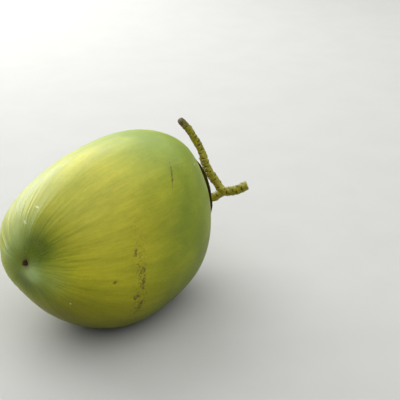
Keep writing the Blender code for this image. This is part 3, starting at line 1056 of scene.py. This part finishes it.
@dataclass(frozen=True)
class Stem:
    """A round stem along a smooth route through given points, in metres.

    radii are its first and last radius. The rings start square to the reference, a direction that the
    route never takes. scars is how far apart its bud scars are, or 0 for none, knots the height of its
    slow lumps, and dry_from the share of it after which it has dried.
    """

    route: tuple[tuple[float, float, float], ...]
    radii: tuple[float, float]
    reference: tuple[float, float, float]
    seed: int
    rows: int
    columns: int
    scars: float = 0.0
    knots: float = 0.22 * MM
    dry_from: float = 2.0
    is_cut: bool = True
    face_rings: int = 14

    def path(self) -> tuple[Array, Array]:
        """The route as a Catmull-Rom curve, which is a cubic between each two points of the route.

        Returns:
            The curve's points, and how many metres along it each one is.
        """
        points = np.array(self.route)
        points = np.concatenate([[2 * points[0] - points[1]], points, [2 * points[-1] - points[-2]]])
        count = len(self.route) - 1
        where = np.linspace(0.0, count, self.rows)
        span = np.minimum(where.astype(int), count - 1)
        t = (where - span)[:, None]
        a, b, c, d = (points[span + k] for k in range(4))
        curve = 2 * b + (c - a) * t + (2 * a - 5 * b + 4 * c - d) * t**2 + (3 * b - a - 3 * c + d) * t**3
        curve = 0.5 * curve
        steps = np.linalg.norm(np.diff(curve, axis=0), axis=1)
        return curve, np.concatenate([[0.0], np.cumsum(steps)])

    def pits(self, run: Array, turn: Array, radius: Array) -> tuple[Array, Array]:
        """The relief of the bud scars and of the cushions they sit on, and the scars' dark masks.

        Each scar follows the last by a golden turn. With w and u the distances across and up the stem
        from its middle, in its own sizes, and u bent by 0.55 w^2, the scar is a slit of
        exp(-1.2 w^2 - (u / 0.5)^2) at the upper end of a cushion of exp(-w^2 - ((u + 1.5) / 1.2)^2).

        Args:
            run: metres along the stem at each point.
            turn: angle round the stem.
            radius: the stem's radius.

        Returns:
            The relief in metres, and the mask from 0 to 1.
        """
        rng = np.random.default_rng(self.seed)
        relief, mask = np.zeros_like(run), np.zeros_like(run)
        places = np.arange(4 * MM, run.max() - 2 * MM, self.scars) if self.scars else []
        for k, place in enumerate(places):
            size = rng.uniform(0.85, 1.45)
            middle = math.radians(137.5) * k + rng.uniform(-0.45, 0.45)
            across = np.arctan2(np.sin(turn - middle), np.cos(turn - middle)) * radius / (1.7 * MM * size)
            up = (run - place - rng.uniform(-0.5, 0.5) * MM) / (1.05 * MM * size) + 0.55 * across**2
            slit = np.exp(-1.2 * across**2) * hill(up, 0.0, 0.5)
            cushion = np.exp(-(across**2)) * hill(up, -1.5, 1.2)
            relief += (0.42 * cushion - 0.55 * slit) * MM * size
            mask = np.maximum(mask, slit * rng.uniform(0.7, 1.0))
        return np.clip(relief, -0.7 * MM, 0.85 * MM), mask

    def mesh(self, name: str) -> bpy.types.Mesh:
        """The stem's mesh, of rings along its path.

        The radius goes from the first to the last by the share along it to the power 1.2. The first
        end is a flat, cut face with a worn edge, or rounded if it's grown into another stem, and the
        last end is rounded.

        Args:
            name: the mesh's name.

        Returns:
            A closed mesh.
        """
        curve, run = self.path()
        share = run / run[-1]
        radius = self.radii[0] + (self.radii[1] - self.radii[0]) * share**1.2
        to_end = (run[-1] - run) / (0.7 * radius)
        if not self.is_cut:
            to_end = np.minimum(to_end, run / (0.9 * radius))
        radius = radius * np.sqrt(np.clip(1.0 - np.clip(1.0 - to_end, 0.0, 0.98) ** 2, 0.0, 1.0))
        ahead = unit(np.gradient(curve, axis=0))
        side = unit(np.cross(np.array(self.reference), ahead))
        other = np.cross(ahead, side)

        # The cut face is a few more rings that widen at the path's first point.
        face = np.linspace(0.06, 0.94, self.face_rings)
        worn = 0.94 + 0.06 * np.sin(np.clip(run / (0.5 * MM), 0, 1) * math.pi / 2)
        on_path = np.concatenate([np.zeros(len(face), int), np.arange(self.rows)])
        turns = np.linspace(0.0, math.tau, self.columns, endpoint=False)
        row, turn = np.meshgrid(np.arange(len(on_path)), turns, indexing="ij")
        width = np.concatenate([face, worn])[row]
        on_face = (row < len(face)).astype(float)
        ring = on_path[row]
        share, run, radius = share[ring], run[ring], radius[ring]

        relief, pit = self.pits(run, turn, radius)
        dry = step_between(share, self.dry_from - 0.08, self.dry_from + 0.08)
        wrinkle = Ripple(self.seed + 1, (4, 13), 6.0, 40).height(share, turn)
        knots = Ripple(self.seed + 2, (1, 3), 14.0, 40).height(share, turn)
        relief = relief * (1.0 - 0.45 * dry) + (0.05 + 0.16 * dry) * MM * wrinkle + self.knots * knots
        relief = relief * np.minimum(radius / (2.5 * MM), 1.0)
        reach = ((radius + relief) * width)[..., None]
        out = np.cos(turn)[..., None] * side[ring] + np.sin(turn)[..., None] * other[ring]
        sunk = 0.25 * MM * Ripple(self.seed + 3, (3, 11), 9.0).height(width, turn) * on_face
        points = curve[ring] + reach * out + sunk[..., None] * ahead[0]

        grain = np.stack([radius * np.cos(turn), radius * np.sin(turn), run], axis=-1)
        values = {"grain": grain, "pit": pit * (1 - on_face), "dry": dry, "cut": on_face * self.is_cut}
        surface = Surface(points, values)
        return tube_mesh(name, surface, surface.cap(0, curve[0]), surface.cap(-1, curve[-1]))


@dataclass
class Branch:
    """A piece of fruiting branch: a notched stem, the spur from its fork, and the fruit's collar."""

    fruit: Fruit
    stem: Stem = Stem(
        route=((0.142, -0.054, 0.084), (0.135, -0.044, 0.079), (0.130, -0.034, 0.078),
               (0.129, -0.026, 0.086), (0.127, -0.016, 0.101), (0.128, -0.008, 0.118),
               (0.122, 0.001, 0.138), (0.113, 0.007, 0.151)),
        radii=(4.6 * MM, 3.2 * MM),
        reference=(1, 0, 0),
        seed=31,
        rows=620,
        columns=120,
        scars=1.15 * MM,
        dry_from=0.93,
    )
    spur: Stem = Stem(
        route=((0.130, -0.034, 0.078), (0.125, -0.023, 0.070), (0.121, -0.009, 0.071),
               (0.118, 0.003, 0.079)),
        radii=(4.1 * MM, 5.2 * MM),
        reference=(1, 0, 0),
        seed=57,
        rows=260,
        columns=100,
        scars=1.9 * MM,
        is_cut=False,
    )
    collar_radius: float = 11.5 * MM
    collar_height: float = 12.5 * MM
    gap: float = 0.4 * MM
    seat: float = 0.3 * MM

    def collar(self, name: str) -> bpy.types.Mesh:
        """The collar: a drum turned about the fruit's axis, ringed by old scars and fluted lengthways.

        Its radius is a smoothed profile of widths at heights, both as shares of the drum, with Gaussian
        rings and grooves round it and random waves along it.

        Args:
            name: the mesh's name.

        Returns:
            A closed mesh.
        """
        heights = np.array([0.0, 0.03, 0.25, 0.62, 0.80, 0.95, 1.15])
        widths = np.array([0.86, 0.92, 0.86, 0.80, 0.82, 0.66, 0.40])
        rows, columns = 120, 150
        up = np.linspace(0.0, heights[-1], rows)
        window = np.hanning(13)[1:-1]
        width = np.pad(np.interp(up, heights, widths), len(window) // 2, mode="edge")
        width = np.convolve(width, window / window.sum(), "valid")
        turn, height = np.meshgrid(np.linspace(0.0, math.tau, columns, endpoint=False), up)
        rings = 0.22 * hill(height, 0.36, 0.035) + 0.30 * hill(height, 0.66, 0.04)
        rings = rings - 0.25 * hill(height, 0.50, 0.04)
        flutes = Ripple(71, (7, 26), 2.0, 50).height(height, turn)
        lumps = Ripple(72, (2, 5), 3.0).height(height, turn)
        reach = self.collar_radius * width[:, None] + (rings + 0.16 * flutes + 0.18 * lumps) * MM
        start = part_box("husk")[1][0] + self.gap + self.seat
        x = start + (self.collar_height - self.seat) * height
        y = self.fruit.axis[0] + reach * np.cos(turn)
        points = np.stack([x, y, self.fruit.axis[1] + reach * np.sin(turn)], axis=-1)
        grain = np.stack([reach * np.cos(turn), reach * np.sin(turn), height * self.collar_height], axis=-1)
        # The pit mask darkens the collar at its foot, where it meets the husk, and in the groove at half its
        # height.
        rim = np.clip(hill(height, 0.0, 0.10) + 0.8 * hill(height, 0.50, 0.05), 0.0, 1.0)
        values = {"grain": grain, "pit": rim, "dry": 0.45 * hill(height, 0.1, 0.35), "cut": 0.0 * turn}
        surface = Surface(points, values)
        return tube_mesh(name, surface, surface.cap(0), surface.cap(-1))

    def build(self) -> None:
        """Makes the stem, the spur and the collar, which all stand for the branch."""
        material = NotchedStem().material()
        makers = {"branch_stem": self.stem.mesh, "branch_spur": self.spur.mesh, "branch_collar": self.collar}
        for name, maker in makers.items():
            show(name, maker(name), material, "branch")


@dataclass(frozen=True)
class NotchedStem:
    """A living, woody stem: yellow-green bark over fibre, dark bud scars, a pale cut and a dry grey tip.

    A pair of colours is the darker and the paler of its kind, except that the cut face is paler first.
    """

    bark: tuple[str, str] = ("827e12", "a49c1c")
    dried: tuple[str, str] = ("3f3320", "7a6a4c")
    scar: tuple[str, str] = ("1f1608", "54401c")
    cut: tuple[str, str] = ("cbbf86", "96834c")
    fibre_line: str = "5c600e"
    freckle: str = "5c4a1a"
    fibres: Grain = Grain(0.8 * MM, 3.0, 0.6, (1, 1, 0.10))
    blotches: Grain = Grain(7 * MM, 4.0, 0.6)
    flecks: Grain = Grain(0.9 * MM, 3.0, 0.65)
    strands: Grain = Grain(0.7 * MM, 2.0, 0.6)

    def material(self) -> bpy.types.Material:
        """The branch's material.

        Returns:
            The new material.
        """
        paint = Paint("notched_green_stem", {"Roughness": 0.55, "IOR": 1.45, "Specular IOR Level": 0.3})
        along = paint.add("Attribute", (), "Vector", attribute_name="grain")
        pit, dry, cut = (paint.add("Attribute", (), "Fac", attribute_name=a) for a in ("pit", "dry", "cut"))
        fibre, strands = paint.grow(self.fibres, along), paint.grow(self.strands, along)
        blotch, fleck = paint.grow(self.blotches, paint.place), paint.grow(self.flecks, paint.place)

        colour = paint.coat(*self.bark, blotch, 0.3, 0.7)
        colour = paint.coat(colour, self.fibre_line, fibre, 0.3, 0.65, 0.4, 0.0)
        colour = paint.coat(colour, self.freckle, fleck, 0.58, 0.68, 0.0, 0.6)
        dried = paint.coat(*self.dried, fibre, 0.3, 0.7)
        colour = paint.add("Mix", {0: dry, 6: colour, 7: dried}, 2, data_type="RGBA")
        crumbs = paint.add("MapRange", (fleck, 0.2, 0.8, -0.2, 0.2), **paint.SMOOTH)
        scars = paint.add("Math", (pit, crumbs), operation="ADD")
        scars = paint.add("MapRange", (scars, 0.12, 0.5, 0.0, 1.0), **paint.SMOOTH)
        colour = paint.shade(colour, paint.coat(*self.scar, fleck, 0.3, 0.7), scars, 0.9)
        face = paint.coat(*self.cut, strands, 0.4, 0.62)
        colour = paint.add("Mix", {0: cut, 6: colour, 7: face}, 2, data_type="RGBA")

        rough = paint.add("MapRange", (fibre, 0.2, 0.8, 0.45, 0.58), **paint.SMOOTH)
        duller = paint.add("Math", (dry, 0.25), operation="MULTIPLY")
        rough = paint.add("Math", (rough, duller), operation="ADD")
        normal = paint.relief(((fibre, 0.12 * MM), (fleck, 0.06 * MM)))
        return paint.finish({"Base Color": colour, "Roughness": rough, "Normal": normal})


# ------------------------------------------------------------------------------------- the stigma


@dataclass
class Stigma:
    """The dried stigma: a three-lobed corky button in the dimple at the fruit's tip."""

    fruit: Fruit
    radius: float = 2.1 * MM
    height: float = 1.8 * MM
    sunk: float = 0.9 * MM
    lobe_angle: float = math.radians(78)
    rows: int = 60
    columns: int = 96

    def build(self) -> bpy.types.Object:
        """Makes the button: a rim that rounds over to a cracked face, split three ways between its lobes.

        Its profile is a superellipse, radius r and height h following r^4 + h^2.5 = 1. It starts at the
        CAD button's face and is sunk a little past its back.

        Returns:
            The new piece.
        """
        low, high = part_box("stigma")
        turns = np.linspace(0.0, math.tau, self.columns, endpoint=False)
        arcs = np.linspace(0.03, math.pi / 2 + 0.55, self.rows)
        arc, turn = np.meshgrid(arcs, turns, indexing="ij")
        reach = np.abs(np.sin(arc)) ** 0.5
        up = np.sign(np.cos(arc)) * np.abs(np.cos(arc)) ** 0.8
        lobes = 1.0 + 0.12 * np.cos(3.0 * (turn - self.lobe_angle))
        split = bump(3.0 * turn, 3.0 * self.lobe_angle - math.pi, 6.0) * reach**2
        crumbs = Ripple(91, (4, 22), 8.0, 60).height(reach, turn)
        out = self.radius * reach * lobes * (1.0 - 0.12 * split + 0.03 * crumbs)
        rise = up * (0.75 - 0.25 * split) + 0.04 * crumbs * reach
        middle = [(low[k] + high[k]) / 2 for k in range(3)]
        x = high[0] + self.sunk - (self.height + self.sunk) * np.maximum(rise, -0.3) / 0.75
        y, z = middle[1] + out * np.cos(turn), middle[2] + out * np.sin(turn)
        surface = Surface(np.stack([np.maximum(x, low[0]), y, z], axis=-1), {"split": split})
        mesh = tube_mesh("stigma_button", surface, surface.cap(0), surface.cap(-1))
        return show("stigma_button", mesh, DriedCork().material(), "stigma")


@dataclass(frozen=True)
class DriedCork:
    """Dead, dried tissue: brown and crumbly, and almost black in its cracks with painted shade."""

    brown: tuple[str, str] = ("1d130a", "4c361d")
    # Painted shade for the sunk splits between the lobes.
    split_shade: str = "150d07"
    crumbs: Grain = Grain(0.5 * MM, 4.0, 0.7)

    def material(self) -> bpy.types.Material:
        """The stigma's material.

        Returns:
            The new material.
        """
        paint = Paint("dried_cork", {"Roughness": 0.85, "IOR": 1.45, "Specular IOR Level": 0.25})
        crumb = paint.grow(self.crumbs, paint.place)
        split = paint.add("Attribute", (), "Fac", attribute_name="split")
        # Painted shade: almost black in the sunk splits between the lobes.
        colour = paint.shade(paint.coat(*self.brown, crumb, 0.35, 0.65), self.split_shade, split, 0.8)
        rough = paint.add("MapRange", (crumb, 0.2, 0.8, 0.75, 0.95), **paint.SMOOTH)
        normal = paint.relief(((crumb, 0.15 * MM),))
        return paint.finish({"Base Color": colour, "Roughness": rough, "Normal": normal})


# ------------------------------------------------------------------------------------- the studio


@dataclass(frozen=True)
class MattPaper:
    """A matt paper floor: pale grey, with only a faint clouding and no shine."""

    tones: tuple[str, str] = ("b7b7b3", "b9b9b5")
    clouds: Grain = Grain(60 * MM)

    def material(self) -> bpy.types.Material:
        """The floor's material.

        Returns:
            The new material.
        """
        paint = Paint("matt_pale_paper", {"Roughness": 1.0, "IOR": 1.45, "Specular IOR Level": 0.0})
        cloud = paint.grow(self.clouds, paint.place)
        return paint.finish({"Base Color": paint.coat(*self.tones, cloud, 0.3, 0.7)})


class Reach(Enum):
    """What a light does. Each value says if it lights surfaces, and if it's mirrored in their sheen."""

    ALL = (True, True)
    SHEEN_ONLY = (False, True)
    NO_SHEEN = (True, False)


@dataclass(frozen=True)
class SoftLight:
    """A square soft light: where it is, in degrees and metres, how wide it is, and its power in watts."""

    name: str
    azimuth: float
    elevation: float
    distance: float
    size: float
    power: float
    reach: Reach = Reach.ALL
    colour: str = "ffffff"


@dataclass
class Studio:
    """A pale floor, a broad canopy of light, a weak light behind, and the camera.

    The glows stand for the bright sky that a waxy skin mirrors: they show in its sheen and light
    nothing else.
    """

    azimuth: float = -58.55
    elevation: float = 24.05
    lens_mm: float = 85.0
    stand: tuple[float, float, float] = (-7.7425, -5.8807, 4.6573)
    floor_half: float = 15.0
    aim_height: float = 0.09
    surround: str = "e6ebef"
    surround_strength: float = 0.3
    lights: tuple[SoftLight, ...] = (
        SoftLight("sky_panel", 155, 34, 1.6, 1.7, 31),
        SoftLight("canopy", -38, 78, 8.8, 20.0, 1560, Reach.NO_SHEEN),
        SoftLight("low_glow", 180, 24, 1.6, 1.9, 74, Reach.SHEEN_ONLY, "dfeaff"),
        SoftLight("high_glow", 98, 50, 1.6, 1.9, 46, Reach.SHEEN_ONLY, "dfeaff"),
        SoftLight("side_glow", 48, 24, 1.6, 1.9, 10, Reach.SHEEN_ONLY, "dfeaff"),
    )

    def direction(self, azimuth: float, elevation: float) -> Vector:
        """The way from the fruit towards a place at that azimuth and elevation, in degrees."""
        a, e = math.radians(azimuth), math.radians(elevation)
        return Vector((math.sin(a) * math.cos(e), -math.cos(a) * math.cos(e), math.sin(e)))

    def build_floor(self) -> None:
        """Makes a wide, plain floor at the height that the fruit rests on."""
        half = self.floor_half
        points = np.array([(-half, -half, 0), (half, -half, 0), (half, half, 0), (-half, half, 0)], float)
        mesh = make_mesh("floor", points, np.array([[0, 1, 2, 3]]), np.empty((0, 3), int), {})
        mesh.materials.append(MattPaper().material())
        floor = bpy.data.objects.new("floor", mesh)
        bpy.context.scene.collection.objects.link(floor)

    def build_light(self, light: SoftLight) -> None:
        """Makes one soft light, which faces the fruit.

        Args:
            light: its place, size and power.
        """
        data = bpy.data.lights.new(light.name, "AREA")
        data.energy = light.power
        data.size = light.size
        data.color = linear(light.colour)[:3]
        lamp = bpy.data.objects.new(light.name, data)
        away = self.direction(light.azimuth, light.elevation)
        lamp.location = Vector((0.0, 0.0, self.aim_height)) + away * light.distance
        lamp.rotation_euler = away.to_track_quat("Z", "Y").to_euler()
        lamp.visible_diffuse, lamp.visible_glossy = light.reach.value
        bpy.context.scene.collection.objects.link(lamp)

    def build_world(self) -> None:
        """Makes an even, pale surround."""
        world = bpy.data.worlds.new("surround")
        world.use_nodes = True
        background = world.node_tree.nodes["Background"]
        background.inputs["Color"].default_value = linear(self.surround)
        background.inputs["Strength"].default_value = self.surround_strength
        bpy.context.scene.world = world

    def build_camera(self, fruit: Fruit) -> None:
        """Makes the camera.

        Args:
            fruit: the fruit, whose axis and radius say where the camera stands.
        """
        camera = bpy.data.objects.new("camera", bpy.data.cameras.new("camera"))
        camera.data.lens = self.lens_mm
        camera.location = Vector(np.array(self.stand) * fruit.radius + np.array([0.0, *fruit.axis]))
        away = self.direction(self.azimuth, self.elevation)
        camera.rotation_euler = away.to_track_quat("Z", "Y").to_euler()
        bpy.context.scene.collection.objects.link(camera)
        bpy.context.scene.camera = camera

    def build(self, fruit: Fruit) -> None:
        """Makes the floor, the surround, the lights and the camera.

        Args:
            fruit: the fruit that the camera looks at.
        """
        self.build_floor()
        self.build_world()
        for light in self.lights:
            self.build_light(light)
        self.build_camera(fruit)
        bpy.context.scene.view_settings.view_transform = "Standard"


def main() -> None:
    """Builds the coconut and its studio, in order."""
    logging.basicConfig(level=logging.INFO, format="%(message)s")
    fruit = Fruit()
    fruit.build()
    Calyx(fruit).build()
    Branch(fruit).build()
    Stigma(fruit).build()
    Studio().build(fruit)


if __name__ == "__main__":
    main()
